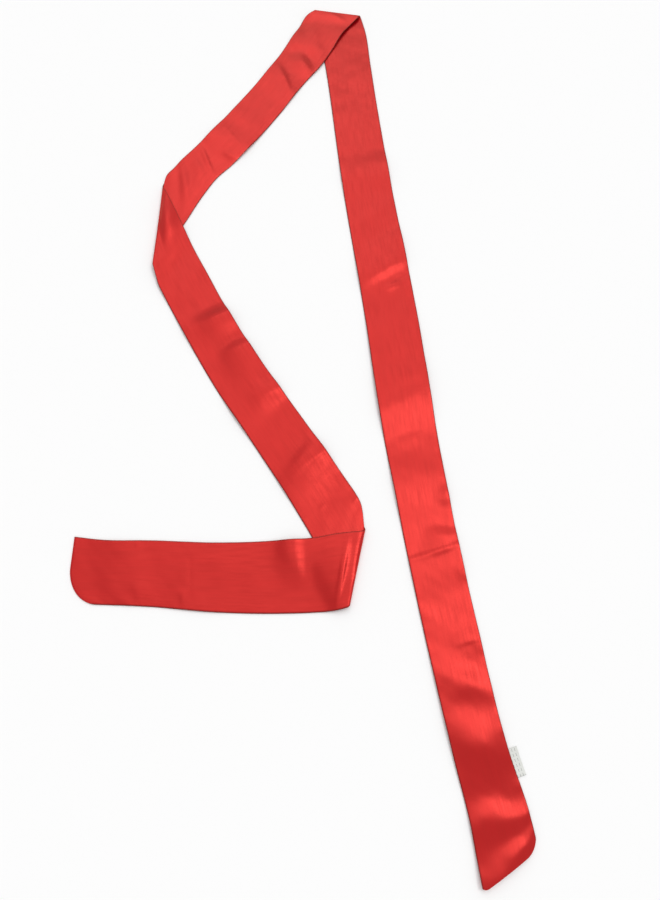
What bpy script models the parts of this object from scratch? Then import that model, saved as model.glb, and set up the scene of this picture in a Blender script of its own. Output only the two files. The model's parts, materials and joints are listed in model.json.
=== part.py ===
"""A satin sash, laid down in a zigzag with three turned folds.

The sash is one long strip, folded lengthwise, seamed into a tube, turned and pressed flat. So it
has a folded edge and a seam edge, and each stretch of it is a wall of two plies. A stretch is a
ribbon ruled from its folded edge to its seam edge through a few sections. At its far end it
climbs over the next stretch, turns down round a soft fold and tucks a short flap under itself,
where the next stretch begins. A small label stands out of the seam near the pointed end.

Units are metres. +Z is up, the cloth rests on z = 0, and the long stretch runs along Y.
"""

from collections import namedtuple

import bpy
import numpy as np
from mathutils import Vector
from mathutils.bvhtree import BVHTree

# Cloth
WALL = 0.0018            # two plies and the air between them
SEAM_GAP = 0.0003        # between pieces that touch
FOLD_RADIUS = 0.0027     # to the middle of the wall, round a turned fold
FOLD_FLAP = 0.009        # what a fold tucks under itself
FOLD_EASE = 0.034        # over this much the upper layer sinks from the fold to the cloth below
CLIMB_SHOULDER = 0.006   # a crossing stretch stays up this far past the edge below it
CLIMB_RUN = 0.022        # and comes down to the floor over this much
RING_STEP = 0.013        # between the rings of a stretch
TURN_STEPS = 8           # steps round a fold
FLAP_RINGS = 3           # rings along a flap
ACROSS = 7               # faces across a stretch
FOLD_SEARCH = 0.080      # how far from a fold its depths are looked up
SEARCH_STEPS = 160
SHARP_ANGLE = 40.0       # degrees, between faces that meet in a sharp edge
END_BLEND = 0.090        # how far from an end its slant and round corner still bend the rings

# Label, a small loop of tape caught in the seam
LABEL_AT = 1.201         # along the long stretch, from its fold
LABEL_LENGTH = 0.030
LABEL_PROUD = 0.010
LABEL_WALL = 0.0010
LABEL_STEPS = 4

# Colours, roughness and metallic value
SATIN = ((0.610, 0.036, 0.030, 1.0), 0.34, 0.0)
TAPE = ((0.745, 0.765, 0.720, 1.0), 0.70, 0.0)

# A section is the line from the folded edge to the seam edge: its middle, the direction in which
# it lies in degrees, and its length. A fold's own section is the outermost line of the fold.
Section = namedtuple("Section", "x y lay width")

# A swell is a low wave across the ribbon: where its crest is along the middle, how far it reaches
# to each side, its height at both edges, and how far the crest leans along from edge to edge.
Swell = namedtuple("Swell", "along reach fold_height seam_height lean")

# The cut of an end: how much shorter the seam edge is than the folded edge, the depth of the
# round corner at the seam edge, and how far across the ribbon that corner starts, from 0 to 1.
EndCut = namedtuple("EndCut", "slant corner corner_from")

Stretch = namedtuple("Stretch", "name sections swells")

# A fold belongs to both of the stretches that meet there
TAIL_FOLD = Section(0.081, -0.325, -103.5, 0.096)
LEFT_FOLD = Section(-0.194, 0.189, -92, 0.145)
TOP_FOLD = Section(0.087, 0.657, -5, 0.081)

TAIL_STRETCH = Stretch(
    "tail_stretch",
    [
        Section(-0.260, -0.322, -87, 0.081),
        Section(-0.223, -0.325, -86, 0.078),
        Section(-0.168, -0.327, -88, 0.080),
        Section(-0.093, -0.3325, -89, 0.084),
        Section(-0.012, -0.333, -90, 0.089),
        Section(0.026, -0.3315, -91, 0.091),
        Section(0.057, -0.328, -95, 0.095),
        TAIL_FOLD,
    ],
    [
        Swell(0.060, 0.040, 0.0020, 0.0006, 0.006),
        Swell(0.150, 0.046, 0.0008, 0.0026, -0.004),
    ],
)

LOWER_STRETCH = Stretch(
    "lower_stretch",
    [
        TAIL_FOLD,
        Section(0.069, -0.288, -115, 0.097),
        Section(0.055, -0.258, -132, 0.082),
        Section(0.040, -0.232, -147, 0.077),
        Section(-0.013, -0.147, -145, 0.075),
        Section(-0.071, -0.057, -142, 0.074),
        Section(-0.128, 0.045, -145, 0.071),
        Section(-0.146, 0.081, -144, 0.072),
        Section(-0.162, 0.113, -126, 0.080),
        Section(-0.177, 0.149, -105, 0.107),
        LEFT_FOLD,
    ],
    [
        Swell(0.163, 0.036, 0.0026, 0.0012, 0.008),
        Swell(0.263, 0.050, 0.0012, 0.0028, -0.010),
        Swell(0.393, 0.046, 0.0026, 0.0014, 0.010),
    ],
)

UPPER_STRETCH = Stretch(
    "upper_stretch",
    [
        LEFT_FOLD,
        Section(-0.183, 0.216, -86, 0.135),
        Section(-0.167, 0.245, -79, 0.110),
        Section(-0.149, 0.280, -68, 0.084),
        Section(-0.131, 0.309, -55, 0.069),
        Section(-0.113, 0.332, -48, 0.069),
        Section(-0.035, 0.450, -49, 0.071),
        Section(0.004, 0.517, -48, 0.071),
        Section(0.031, 0.564, -49, 0.080),
        Section(0.046, 0.593, -39, 0.076),
        Section(0.061, 0.625, -29, 0.075),
        TOP_FOLD,
    ],
    [
        Swell(0.198, 0.042, 0.0022, 0.0028, 0.006),
        Swell(0.350, 0.044, 0.0028, 0.0020, -0.006),
        Swell(0.497, 0.048, 0.0, 0.0050, 0.004),
    ],
)

LONG_STRETCH = Stretch(
    "long_stretch",
    [
        TOP_FOLD,
        Section(0.095, 0.599, 14, 0.082),
        Section(0.101, 0.524, 16, 0.079),
        Section(0.119, 0.292, 15, 0.078),
        Section(0.145, 0.032, 13, 0.077),
        Section(0.155, -0.100, 12, 0.075),
        Section(0.167, -0.219, 11, 0.070),
        Section(0.192, -0.411, 11, 0.066),
        Section(0.213, -0.542, 10, 0.064),
        Section(0.223, -0.586, 9, 0.067),
        Section(0.233, -0.663, 8, 0.070),
    ],
    [
        Swell(0.360, 0.048, 0.0014, 0.0030, 0.0),
        Swell(0.524, 0.050, 0.0014, 0.0032, -0.016),
        Swell(0.676, 0.080, 0.0018, 0.0020, 0.0),
        Swell(0.748, 0.056, 0.0030, 0.0034, -0.004),
        Swell(0.882, 0.060, 0.0026, 0.0022, 0.004),
        Swell(0.984, 0.042, 0.0008, 0.0022, -0.004),
        Swell(1.158, 0.038, 0.0032, 0.0024, 0.010),
    ],
)

TAIL_CUT = EndCut(-0.006, 0.036, 0.45)
POINT_CUT = EndCut(0.0275, 0.013, 0.78)


def clear_scene():
    """Remove every object, so that the script can be run again."""
    for old in list(bpy.data.objects):
        bpy.data.objects.remove(old, do_unlink=True)


def make_material(name, finish):
    """A Principled material with the finish's colour, roughness and metallic value."""
    color, roughness, metallic = finish
    material = bpy.data.materials.new(name)
    material.use_nodes = True
    shader = material.node_tree.nodes["Principled BSDF"]
    shader.inputs["Base Color"].default_value = color
    shader.inputs["Roughness"].default_value = roughness
    shader.inputs["Metallic"].default_value = metallic
    material.diffuse_color = color
    return material


def smooth_curve(knots, values, at):
    """Values at the distances asked for, on a smooth curve through all the knots."""
    slopes = np.gradient(values, knots, axis=0)
    left = np.clip(np.searchsorted(knots, at, side="right") - 1, 0, len(knots) - 2)
    span = knots[left + 1] - knots[left]
    t = ((at - knots[left]) / span)[:, None]
    span = span[:, None]
    keep = 2.0 * t**3 - 3.0 * t**2 + 1.0
    start = (t**3 - 2.0 * t**2 + t) * span * slopes[left]
    end = (t**3 - t**2) * span * slopes[left + 1]
    return keep * values[left] + start + (1.0 - keep) * values[left + 1] + end


def ease(q):
    """1 up to q = 0, 0 from q = 1 on, and a smooth fall between them."""
    q = np.clip(q, 0.0, 1.0)
    return 1.0 - q * q * (3.0 - 2.0 * q)


def knots_along(sections):
    """How far each section's middle is along the stretch."""
    middles = np.array([(s.x, s.y) for s in sections])
    steps = np.linalg.norm(np.diff(middles, axis=0), axis=1)
    return np.concatenate([[0.0], np.cumsum(steps)])


def rulings(sections, at):
    """Both ends of the ribbon's lines at the distances asked for: (rings, 2 edges, 2)."""
    rows = np.array(sections, dtype=float)
    lay = np.radians(rows[:, 2])
    half = 0.5 * rows[:, 3:4] * np.stack([np.cos(lay), np.sin(lay)], axis=1)
    edges = np.concatenate([rows[:, :2] - half, rows[:, :2] + half], axis=1)
    found = smooth_curve(knots_along(sections), edges, np.asarray(at, dtype=float))
    return found.reshape(-1, 2, 2)


def spread(lines):
    """Points across each line, from the folded edge to the seam edge: (rings, points, 2)."""
    across = np.linspace(0.0, 1.0, ACROSS + 1)[None, :, None]
    return lines[:, :1] * (1.0 - across) + lines[:, 1:] * across


def inward_of(fold, sections):
    """Unit direction from a fold's line into the stretch, square to that line."""
    lay = np.radians(fold.lay)
    square = np.array([-np.sin(lay), np.cos(lay)])
    middle = np.array([np.mean([s.x for s in sections]), np.mean([s.y for s in sections])])
    return square * np.sign(square @ (middle - np.array([fold.x, fold.y])))


def distance_in(sections, at_start, depth):
    """Distance along a stretch where its ribbon is this deep inside the fold at one end."""
    knots = knots_along(sections)
    fold = sections[0] if at_start else sections[-1]
    search = np.linspace(0.0, FOLD_SEARCH, SEARCH_STEPS + 1)
    at = search if at_start else knots[-1] - search
    middles = rulings(sections, at).mean(axis=1)
    depths = (middles - np.array([fold.x, fold.y])) @ inward_of(fold, sections)
    found = np.interp(depth, depths, search)
    return found if at_start else knots[-1] - found


def flat_tree(sections):
    """Search tree of a stretch's whole ribbon, laid out flat on the floor."""
    at = np.arange(0.0, knots_along(sections)[-1], 0.5 * RING_STEP)
    lines = rulings(sections, at)
    corners = [Vector((x, y, 0.0)) for x, y in lines.reshape(-1, 2)]
    faces = [(2 * i, 2 * i + 1, 2 * i + 3, 2 * i + 2) for i in range(len(lines) - 1)]
    return BVHTree.FromPolygons(corners, faces)


def climb_height(points, tree):
    """How far the cloth is lifted at each point to pass over the ribbon in the search tree."""
    flat = points.reshape(-1, 2)
    away = np.array([tree.find_nearest(Vector((x, y, 0.0)))[3] for x, y in flat])
    lift = (WALL + SEAM_GAP) * ease((away - CLIMB_SHOULDER) / CLIMB_RUN)
    return lift.reshape(points.shape[:2])


def swell_height(at, swells):
    """Height of the low waves over the floor: (rings, points)."""
    across = np.linspace(-1.0, 1.0, ACROSS + 1)[None, :]
    height = np.zeros((len(at), ACROSS + 1))
    for swell in swells:
        q = np.clip((at[:, None] - swell.along - swell.lean * across) / swell.reach, -1.0, 1.0)
        crest = 0.5 * (swell.fold_height * (1.0 - across) + swell.seam_height * (1.0 + across))
        height += crest * (1.0 - q * q) ** 2
    return height


def end_trim(cut):
    """How much each point of an end's ring is drawn back by the end's slant and round corner."""
    across = np.linspace(0.0, 1.0, ACROSS + 1)
    turn = np.clip((across - cut.corner_from) / (1.0 - cut.corner_from), 0.0, 1.0)
    return cut.slant * across + cut.corner * (1.0 - np.sqrt(1.0 - turn * turn))


def cut_end(points, at, sections, end_at, cut):
    """Draw the rings near an end back to its cut, each point along its own line of the ribbon."""
    reach = np.clip(1.0 - np.abs(at - end_at) / END_BLEND, 0.0, 1.0)
    back = end_trim(cut)[None, :] * reach[:, None]
    toward = -1.0 if end_at > 0.0 else 1.0
    moved = points.copy()
    for column in range(ACROSS + 1):
        lines = rulings(sections, at + toward * back[:, column])
        moved[:, column] = spread(lines)[:, column]
    return moved


def even_steps(start, end):
    """Evenly spaced distances from start to end, about a ring step apart."""
    count = max(2, int(np.ceil(abs(end - start) / RING_STEP)) + 1)
    return np.linspace(start, end, count)


def fold_over(stretch, following, start, tree):
    """A stretch that ends in a fold, as (rings, points, 3): its run, the turn and the flap."""
    fold = stretch.sections[-1]
    fold_depth = FOLD_RADIUS + 0.5 * WALL
    at = even_steps(start, distance_in(stretch.sections, False, fold_depth))
    run = spread(rulings(stretch.sections, at))
    if start == 0.0:
        run = cut_end(run, at, stretch.sections, 0.0, TAIL_CUT)
    inward = inward_of(fold, stretch.sections)
    depth = (run - np.array([fold.x, fold.y])) @ inward - fold_depth
    spare = 2.0 * FOLD_RADIUS - WALL - SEAM_GAP
    height = 0.5 * WALL + climb_height(run, tree) + swell_height(at, stretch.swells)
    height += spare * ease(depth / FOLD_EASE)

    flap_start = distance_in(following.sections, True, fold_depth)
    flap_end = distance_in(following.sections, True, fold_depth + FOLD_FLAP)
    flap = spread(rulings(following.sections, np.linspace(flap_start, flap_end, FLAP_RINGS)))
    flap_height = np.full(flap.shape[:2], 0.5 * WALL)

    angle = np.linspace(0.0, np.pi, TURN_STEPS + 1)[1:-1, None, None]
    mix = angle / np.pi
    turn = run[-1:] * (1.0 - mix) + flap[:1] * mix - inward * FOLD_RADIUS * np.sin(angle)
    turn_height = 0.5 * WALL + FOLD_RADIUS * (1.0 + np.cos(angle[:, :, 0]))
    turn_height = np.repeat(turn_height, ACROSS + 1, axis=1)

    plan = np.concatenate([run, turn, flap])
    heights = np.concatenate([height, turn_height, flap_height])
    return np.concatenate([plan, heights[:, :, None]], axis=2)


def run_out(stretch, start):
    """The stretch that ends in the point, as (rings, points, 3)."""
    end = knots_along(stretch.sections)[-1]
    at = even_steps(start, end)
    plan = cut_end(spread(rulings(stretch.sections, at)), at, stretch.sections, end, POINT_CUT)
    height = 0.5 * WALL + swell_height(at, stretch.swells)
    return np.concatenate([plan, height[:, :, None]], axis=2)


def label_grid(stretch):
    """The label's middle surface beside the seam edge, as (rings, 2, 3)."""
    at = np.linspace(LABEL_AT, LABEL_AT + LABEL_LENGTH, LABEL_STEPS + 1)
    lines = rulings(stretch.sections, at)
    outward = lines[:, 1] - lines[:, 0]
    outward /= np.linalg.norm(outward, axis=1)[:, None]
    inner = lines[:, 1] + outward * SEAM_GAP
    outer = lines[:, 1] + outward * (SEAM_GAP + LABEL_PROUD)
    plan = np.stack([inner, outer], axis=1)
    height = np.full(plan.shape[:2] + (1,), 0.5 * LABEL_WALL)
    return np.concatenate([plan, height], axis=2)


def make_wall(name, grid, wall, material, collection):
    """A grid of points made into an open surface, and Solidify gives it its wall."""
    rings, points = grid.shape[:2]
    index = np.arange(rings * points).reshape(rings, points)
    quads = np.stack([index[:-1, :-1], index[1:, :-1], index[1:, 1:], index[:-1, 1:]], axis=-1)
    mesh = bpy.data.meshes.new(name)
    mesh.from_pydata(grid.reshape(-1, 3).tolist(), [], quads.reshape(-1, 4).tolist())
    mesh.materials.append(material)
    mesh.shade_smooth()
    mesh.set_sharp_from_angle(angle=np.radians(SHARP_ANGLE))
    piece = bpy.data.objects.new(name, mesh)
    collection.objects.link(piece)
    solid = piece.modifiers.new("wall", "SOLIDIFY")
    solid.thickness = wall
    solid.offset = 0.0
    solid.use_even_offset = True
    return piece


def main():
    """Build the four stretches from the tail to the point, then the label."""
    clear_scene()
    collection = bpy.data.collections.new("satin_sash")
    bpy.context.scene.collection.children.link(collection)
    satin = make_material("satin", SATIN)
    tape = make_material("label_tape", TAPE)

    order = [TAIL_STRETCH, LOWER_STRETCH, UPPER_STRETCH, LONG_STRETCH]
    under_fold = FOLD_RADIUS + 0.5 * WALL + FOLD_FLAP + SEAM_GAP
    starts = [0.0] + [distance_in(s.sections, True, under_fold) for s in order[1:]]
    for stretch, following, start in zip(order, order[1:], starts):
        grid = fold_over(stretch, following, start, flat_tree(following.sections))
        make_wall(stretch.name, grid, WALL, satin, collection)
    make_wall(LONG_STRETCH.name, run_out(LONG_STRETCH, starts[-1]), WALL, satin, collection)
    make_wall("label", label_grid(LONG_STRETCH), LABEL_WALL, tape, collection)


main()
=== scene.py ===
"""Dress the satin sash: its cloth, its label, their finishes, and the studio that it lies in.

The sash is one long tube of satin, pressed flat and laid down in a zigzag with three turned folds.
A place on it is given by two numbers: `along`, in metres along the middle of its stretch, and
`across`, from 0 at the folded edge to 1 at the seam edge. The cloth is worked out as one grid of
such places, and each of its creases is a row in a table, with its own place, size and lean.

Units are metres. +Z is up, the cloth lies on z = 0, and the long stretch runs along Y.
"""

from __future__ import annotations

import json
import logging
from dataclasses import astuple, dataclass, field
from enum import Enum
from functools import cached_property

import bpy
import numpy as np
from mathutils import Euler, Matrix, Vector

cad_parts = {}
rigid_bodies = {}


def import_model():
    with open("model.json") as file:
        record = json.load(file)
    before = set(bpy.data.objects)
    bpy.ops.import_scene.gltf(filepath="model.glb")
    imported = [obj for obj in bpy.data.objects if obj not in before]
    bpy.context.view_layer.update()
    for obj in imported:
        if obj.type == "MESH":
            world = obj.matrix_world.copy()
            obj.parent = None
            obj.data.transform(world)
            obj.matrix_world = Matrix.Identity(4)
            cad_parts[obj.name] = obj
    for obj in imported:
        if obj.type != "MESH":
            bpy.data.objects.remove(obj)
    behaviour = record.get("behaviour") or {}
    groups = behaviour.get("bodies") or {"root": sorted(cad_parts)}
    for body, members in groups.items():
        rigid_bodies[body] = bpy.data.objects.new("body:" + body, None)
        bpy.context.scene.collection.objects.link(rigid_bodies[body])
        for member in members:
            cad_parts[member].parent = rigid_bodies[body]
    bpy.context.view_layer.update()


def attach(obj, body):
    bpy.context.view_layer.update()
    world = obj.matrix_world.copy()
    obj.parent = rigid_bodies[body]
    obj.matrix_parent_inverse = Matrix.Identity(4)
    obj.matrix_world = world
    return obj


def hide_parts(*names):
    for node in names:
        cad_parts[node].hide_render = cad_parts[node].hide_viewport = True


for leftover in list(bpy.data.objects):
    bpy.data.objects.remove(leftover, do_unlink=True)

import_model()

log = logging.getLogger("satin_sash")

# Cloth, as in the part's solids
WALL = 0.0018
SEAM_GAP = 0.0003
FOLD_RADIUS = 0.0027
FOLD_EASE = 0.034
FOLD_DEPTH = FOLD_RADIUS + 0.5 * WALL
CLIMB_SHOULDER = 0.006
CLIMB_RUN = 0.022
END_BLEND = 0.090
FOLD_SEARCH = 0.080
SEARCH_STEPS = 160

# The sash before it was laid down
PRESSED_WIDTH = 0.075

# Weave: over 1, the roundness keeps a thread's flanks just short of upright
THREAD_ROUNDNESS = 1.02
DIP_SHIFT = 0.4
DIP_FROM = 0.36
DIP_DEPTH = 0.6

# Size and detail of the narrow and of the broad streaks
STREAK_SCALES = ((1.0, 3.0), (6.0, 1.0))

# The name of each piece's map, which is in metres
CLOTH_MAP = "cloth"

Color = tuple[float, float, float, float]


class Edge(Enum):
    """An edge of the pressed tube, as its place across."""

    FOLDED = 0
    SEAM = 1


class Ply(Enum):
    """The ply of the tube that lies uppermost, as the sign of its side."""

    FRONT = 1
    BACK = -1


@dataclass(frozen=True)
class Section:
    """The line from the folded edge to the seam edge at one place of a stretch.

    Attributes:
        x: Its middle, along X.
        y: Its middle, along Y.
        lay: Its direction, in degrees from +X.
        width: Its length.
    """

    x: float
    y: float
    lay: float
    width: float


@dataclass(frozen=True)
class Swell:
    """A low wave across the whole sash.

    Attributes:
        along: Place of its crest along the stretch, halfway across.
        reach: How far it spreads to each side of its crest.
        fold_height: Height of the crest at the folded edge.
        seam_height: Height of the crest at the seam edge.
        lean: How far the crest is shifted on at the seam edge, and back at the folded edge.
    """

    along: float
    reach: float
    fold_height: float
    seam_height: float
    lean: float


@dataclass(frozen=True)
class Crease:
    """A soft ridge, or a trough where its height is negative.

    Attributes:
        along: Place of its middle along the stretch.
        across: Place of its middle across, from 0 to 1.
        reach: How far it spreads to each side of its line.
        span: Half of its length.
        height: Height of the ridge, negative for a trough.
        turn: Degrees from straight across; positive leans it on towards the seam edge.
        bend: How far its ends curl forward along the stretch.
        steep: From -1 to 1; positive makes its far flank short and its near flank long.
    """

    along: float
    across: float
    reach: float
    span: float
    height: float
    turn: float = 0.0
    bend: float = 0.0
    steep: float = 0.0


@dataclass(frozen=True)
class EndCut:
    """The cut of an end.

    Attributes:
        slant: How much shorter the seam edge is than the fold edge.
        corner: Depth of the round corner at the seam edge.
        corner_from: Place across where that corner starts, from 0 to 1.
        blunt: How far the point at the fold edge is rounded back.
        blunt_to: Place across where that rounding ends.
    """

    slant: float
    corner: float
    corner_from: float
    blunt: float = 0.0
    blunt_to: float = 0.1


TAIL_FOLD = Section(0.081, -0.325, -103.5, 0.096)
LEFT_FOLD = Section(-0.194, 0.189, -92, 0.145)
TOP_FOLD = Section(0.087, 0.657, -5, 0.081)

TAIL_SECTIONS = (
    Section(-0.260, -0.322, -87, 0.081),
    Section(-0.223, -0.325, -86, 0.078),
    Section(-0.168, -0.327, -88, 0.080),
    Section(-0.093, -0.3325, -89, 0.084),
    Section(-0.012, -0.333, -90, 0.089),
    Section(0.026, -0.3315, -91, 0.091),
    Section(0.057, -0.328, -95, 0.095),
    TAIL_FOLD,
)
LOWER_SECTIONS = (
    TAIL_FOLD,
    Section(0.069, -0.288, -115, 0.097),
    Section(0.055, -0.258, -132, 0.082),
    Section(0.040, -0.232, -147, 0.077),
    Section(-0.013, -0.147, -145, 0.075),
    Section(-0.071, -0.057, -142, 0.074),
    Section(-0.128, 0.045, -145, 0.071),
    Section(-0.146, 0.081, -144, 0.072),
    Section(-0.162, 0.113, -126, 0.080),
    Section(-0.177, 0.149, -105, 0.107),
    LEFT_FOLD,
)
UPPER_SECTIONS = (
    LEFT_FOLD,
    Section(-0.183, 0.216, -86, 0.135),
    Section(-0.167, 0.245, -79, 0.110),
    Section(-0.149, 0.280, -68, 0.084),
    Section(-0.131, 0.309, -55, 0.069),
    Section(-0.113, 0.332, -48, 0.069),
    Section(-0.035, 0.450, -49, 0.071),
    Section(0.004, 0.517, -48, 0.071),
    Section(0.031, 0.564, -49, 0.080),
    Section(0.046, 0.593, -39, 0.076),
    Section(0.061, 0.625, -29, 0.075),
    TOP_FOLD,
)
LONG_SECTIONS = (
    TOP_FOLD,
    Section(0.095, 0.599, 14, 0.082),
    Section(0.101, 0.524, 16, 0.079),
    Section(0.119, 0.292, 15, 0.078),
    Section(0.145, 0.032, 13, 0.077),
    Section(0.155, -0.100, 12, 0.075),
    Section(0.167, -0.219, 11, 0.070),
    Section(0.192, -0.411, 11, 0.066),
    Section(0.213, -0.542, 10, 0.064),
    Section(0.223, -0.586, 9, 0.067),
    Section(0.233, -0.663, 8, 0.070),
)

TAIL_SWELLS = (
    Swell(0.060, 0.040, 0.0010, 0.0004, 0.006),
    Swell(0.150, 0.046, 0.0005, 0.0012, -0.004),
)
LOWER_SWELLS = (
    Swell(0.163, 0.036, 0.0013, 0.0006, 0.008),
    Swell(0.263, 0.050, 0.0012, 0.0028, -0.010),
    Swell(0.393, 0.046, 0.0026, 0.0014, 0.010),
)
UPPER_SWELLS = (
    Swell(0.198, 0.042, 0.0022, 0.0028, 0.006),
    Swell(0.350, 0.044, 0.0018, 0.0013, -0.006),
    Swell(0.497, 0.048, 0.0, 0.0032, 0.004),
)
LONG_SWELLS = (
    Swell(0.360, 0.048, 0.0014, 0.0030, 0.0),
    Swell(0.524, 0.050, 0.0014, 0.0032, -0.016),
    Swell(0.676, 0.080, 0.0018, 0.0020, 0.0),
    Swell(0.748, 0.056, 0.0030, 0.0034, -0.004),
    Swell(0.882, 0.060, 0.0026, 0.0022, 0.004),
    Swell(0.984, 0.042, 0.0008, 0.0022, -0.004),
    Swell(1.158, 0.038, 0.0018, 0.0012, 0.010),
)

TAIL_CREASES = (
    Crease(0.262, 0.13, 0.0150, 0.058, 0.0054, 8, 0.0, 0.2),
    Crease(0.313, 0.36, 0.0180, 0.064, 0.0040, -3, 0.0, 0.1),
    Crease(0.323, 0.48, 0.0036, 0.060, 0.0015, -5, -0.002, 0.1),
    Crease(0.132, 0.84, 0.0045, 0.012, 0.0005, 0, 0.0, 0.0),
    Crease(0.139, 0.50, 0.0022, 0.030, -0.0003, 0, 0.0, 0.0),
    Crease(0.078, 0.77, 0.0090, 0.016, 0.0007, 15, 0.0, -0.2),
    Crease(0.075, 0.05, 0.0030, 0.009, 0.0005, 10, 0.0, 0.0),
    Crease(0.186, 0.30, 0.0180, 0.034, 0.0008, -24, 0.0, 0.0),
)
LOWER_CREASES = (
    Crease(0.151, 0.46, 0.0200, 0.066, 0.0058, -26, -0.006, 0.2),
    Crease(0.152, 0.14, 0.0080, 0.022, 0.0014, -20, 0.0, 0.0),
    Crease(0.263, 0.20, 0.0150, 0.040, 0.0034, 6, 0.0, 0.05),
    Crease(0.337, 0.18, 0.0300, 0.040, 0.0058, 14, 0.0, 0.55),
    Crease(0.398, 0.24, 0.0187, 0.042, 0.0052, 10, 0.0, 0.4),
    Crease(0.404, 0.80, 0.0120, 0.022, 0.0008, -10, 0.0, 0.2),
    Crease(0.556, 0.26, 0.0210, 0.042, 0.0064, 6, 0.0, -0.1),
    Crease(0.091, 0.60, 0.0030, 0.006, 0.0004, 0, 0.0, 0.0),
    Crease(0.061, 0.06, 0.0040, 0.008, 0.0005, 20, 0.0, 0.0),
    Crease(0.200, 0.75, 0.0160, 0.030, 0.0007, 20, 0.0, 0.0),
    Crease(0.465, 0.60, 0.0200, 0.034, 0.0008, -24, 0.0, 0.0),
)
UPPER_CREASES = (
    Crease(0.104, 0.70, 0.0090, 0.022, 0.0010, -20, 0.0, 0.1),
    Crease(0.143, 0.48, 0.0050, 0.040, 0.0012, -20, 0.003, 0.3),
    Crease(0.206, 0.48, 0.0040, 0.036, 0.0003, -14, 0.002, 0.2),
    Crease(0.176, 0.80, 0.0060, 0.018, 0.0008, 16, 0.0, 0.0),
    Crease(0.244, 0.50, 0.0200, 0.060, 0.0015, -8, 0.0, -0.2),
    Crease(0.360, 0.53, 0.0070, 0.040, 0.0013, -31, -0.004, 0.2),
    Crease(0.410, 0.68, 0.0170, 0.036, 0.0038, -14, 0.0, 0.25),
    Crease(0.446, 0.26, 0.0300, 0.040, 0.0036, -6, 0.0, -0.3),
    Crease(0.084, 0.50, 0.0120, 0.050, 0.0018, -8, 0.0, 0.2),
    Crease(0.122, 0.50, 0.0100, 0.040, 0.0012, -12, 0.0, 0.2),
    Crease(0.452, 0.70, 0.0130, 0.030, 0.0018, 8, 0.0, 0.1),
    Crease(0.432, 0.22, 0.0080, 0.020, 0.0009, 24, 0.0, 0.0),
    Crease(0.532, 0.60, 0.0060, 0.028, 0.0010, -20, 0.0, 0.2),
)
LONG_CREASES = (
    Crease(0.150, 0.80, 0.0300, 0.034, 0.0010, -8, 0.0, 0.0),
    Crease(0.240, 0.40, 0.0180, 0.036, 0.0004, 14, 0.0, 0.0),
    Crease(0.432, 0.70, 0.0160, 0.032, 0.0008, -20, 0.0, 0.1),
    Crease(0.544, 0.52, 0.0130, 0.052, 0.0022, -20, 0.0, 0.2),
    Crease(0.563, 0.72, 0.0030, 0.024, -0.0004, -17, 0.0, 0.0),
    Crease(0.573, 0.64, 0.0070, 0.018, 0.0010, -14, 0.0, 0.1),
    Crease(0.714, 0.50, 0.0200, 0.120, 0.0012, 0, 0.0, 0.0),
    Crease(0.768, 0.50, 0.0260, 0.110, 0.0012, -3, 0.0, 0.2),
    Crease(0.794, 0.50, 0.0100, 0.100, 0.0005, -4, 0.0, 0.5),
    Crease(0.900, 0.95, 0.0100, 0.016, 0.0012, 0, 0.0, 0.0),
    Crease(0.948, 0.72, 0.0150, 0.028, 0.0022, 20, 0.0, -0.4),
    Crease(0.967, 0.50, 0.0042, 0.066, 0.0008, -6, 0.0, -0.3),
    Crease(1.084, 0.50, 0.0300, 0.100, 0.0009, -3, 0.0, 0.3),
    Crease(1.037, 0.08, 0.0080, 0.020, 0.0006, 22, 0.0, 0.0),
    Crease(1.079, 0.74, 0.0046, 0.022, 0.0004, -6, 0.0, 0.2),
    Crease(1.123, 0.50, 0.0170, 0.062, 0.0034, 28, 0.0, -0.1),
    Crease(1.184, 0.48, 0.0230, 0.060, 0.0032, 34, -0.003, 0.0),
    Crease(1.196, 0.36, 0.0280, 0.046, 0.0020, 20, 0.0, -0.35),
    Crease(1.266, 0.24, 0.0200, 0.036, 0.0028, -22, 0.0, -0.1),
    Crease(1.277, 0.70, 0.0180, 0.036, 0.0022, 16, 0.0, 0.0),
    Crease(1.334, 0.30, 0.0380, 0.064, 0.0058, -6, 0.0, 0.0),
    Crease(1.312, 0.74, 0.0130, 0.028, 0.0017, -16, 0.0, 0.0),
)

TAIL_CUT = EndCut(-0.006, 0.036, 0.45)
POINT_CUT = EndCut(0.0275, 0.013, 0.78, 0.004, 0.10)


def ease(q: np.ndarray) -> np.ndarray:
    """Fall smoothly from 1 at q = 0 to 0 at q = 1, as one less q squared times three less two q.

    Args:
        q: Any array.

    Returns:
        An array of the same shape.
    """
    q = np.clip(q, 0.0, 1.0)
    return 1.0 - q * q * (3.0 - 2.0 * q)


def smooth_curve(knots: np.ndarray, values: np.ndarray, at: np.ndarray) -> np.ndarray:
    """Read a smooth curve through all the knots, a cubic between each two with shared slopes.

    Args:
        knots: Distances of the known values, (knots,).
        values: The known values, (knots, numbers).
        at: Distances to read at, (places,).

    Returns:
        The values there, (places, numbers).
    """
    slopes = np.gradient(values, knots, axis=0)
    left = np.clip(np.searchsorted(knots, at, side="right") - 1, 0, len(knots) - 2)
    span = knots[left + 1] - knots[left]
    t = ((at - knots[left]) / span)[:, None]
    span = span[:, None]
    keep = 2.0 * t**3 - 3.0 * t**2 + 1.0
    start = (t**3 - 2.0 * t**2 + t) * span * slopes[left]
    end = (t**3 - t**2) * span * slopes[left + 1]
    return keep * values[left] + start + (1.0 - keep) * values[left + 1] + end


def unit(vectors: np.ndarray) -> np.ndarray:
    """Scale vectors to length 1.

    Args:
        vectors: Vectors along the last axis.

    Returns:
        Unit vectors of the same shape.
    """
    return vectors / np.linalg.norm(vectors, axis=-1, keepdims=True)


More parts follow.
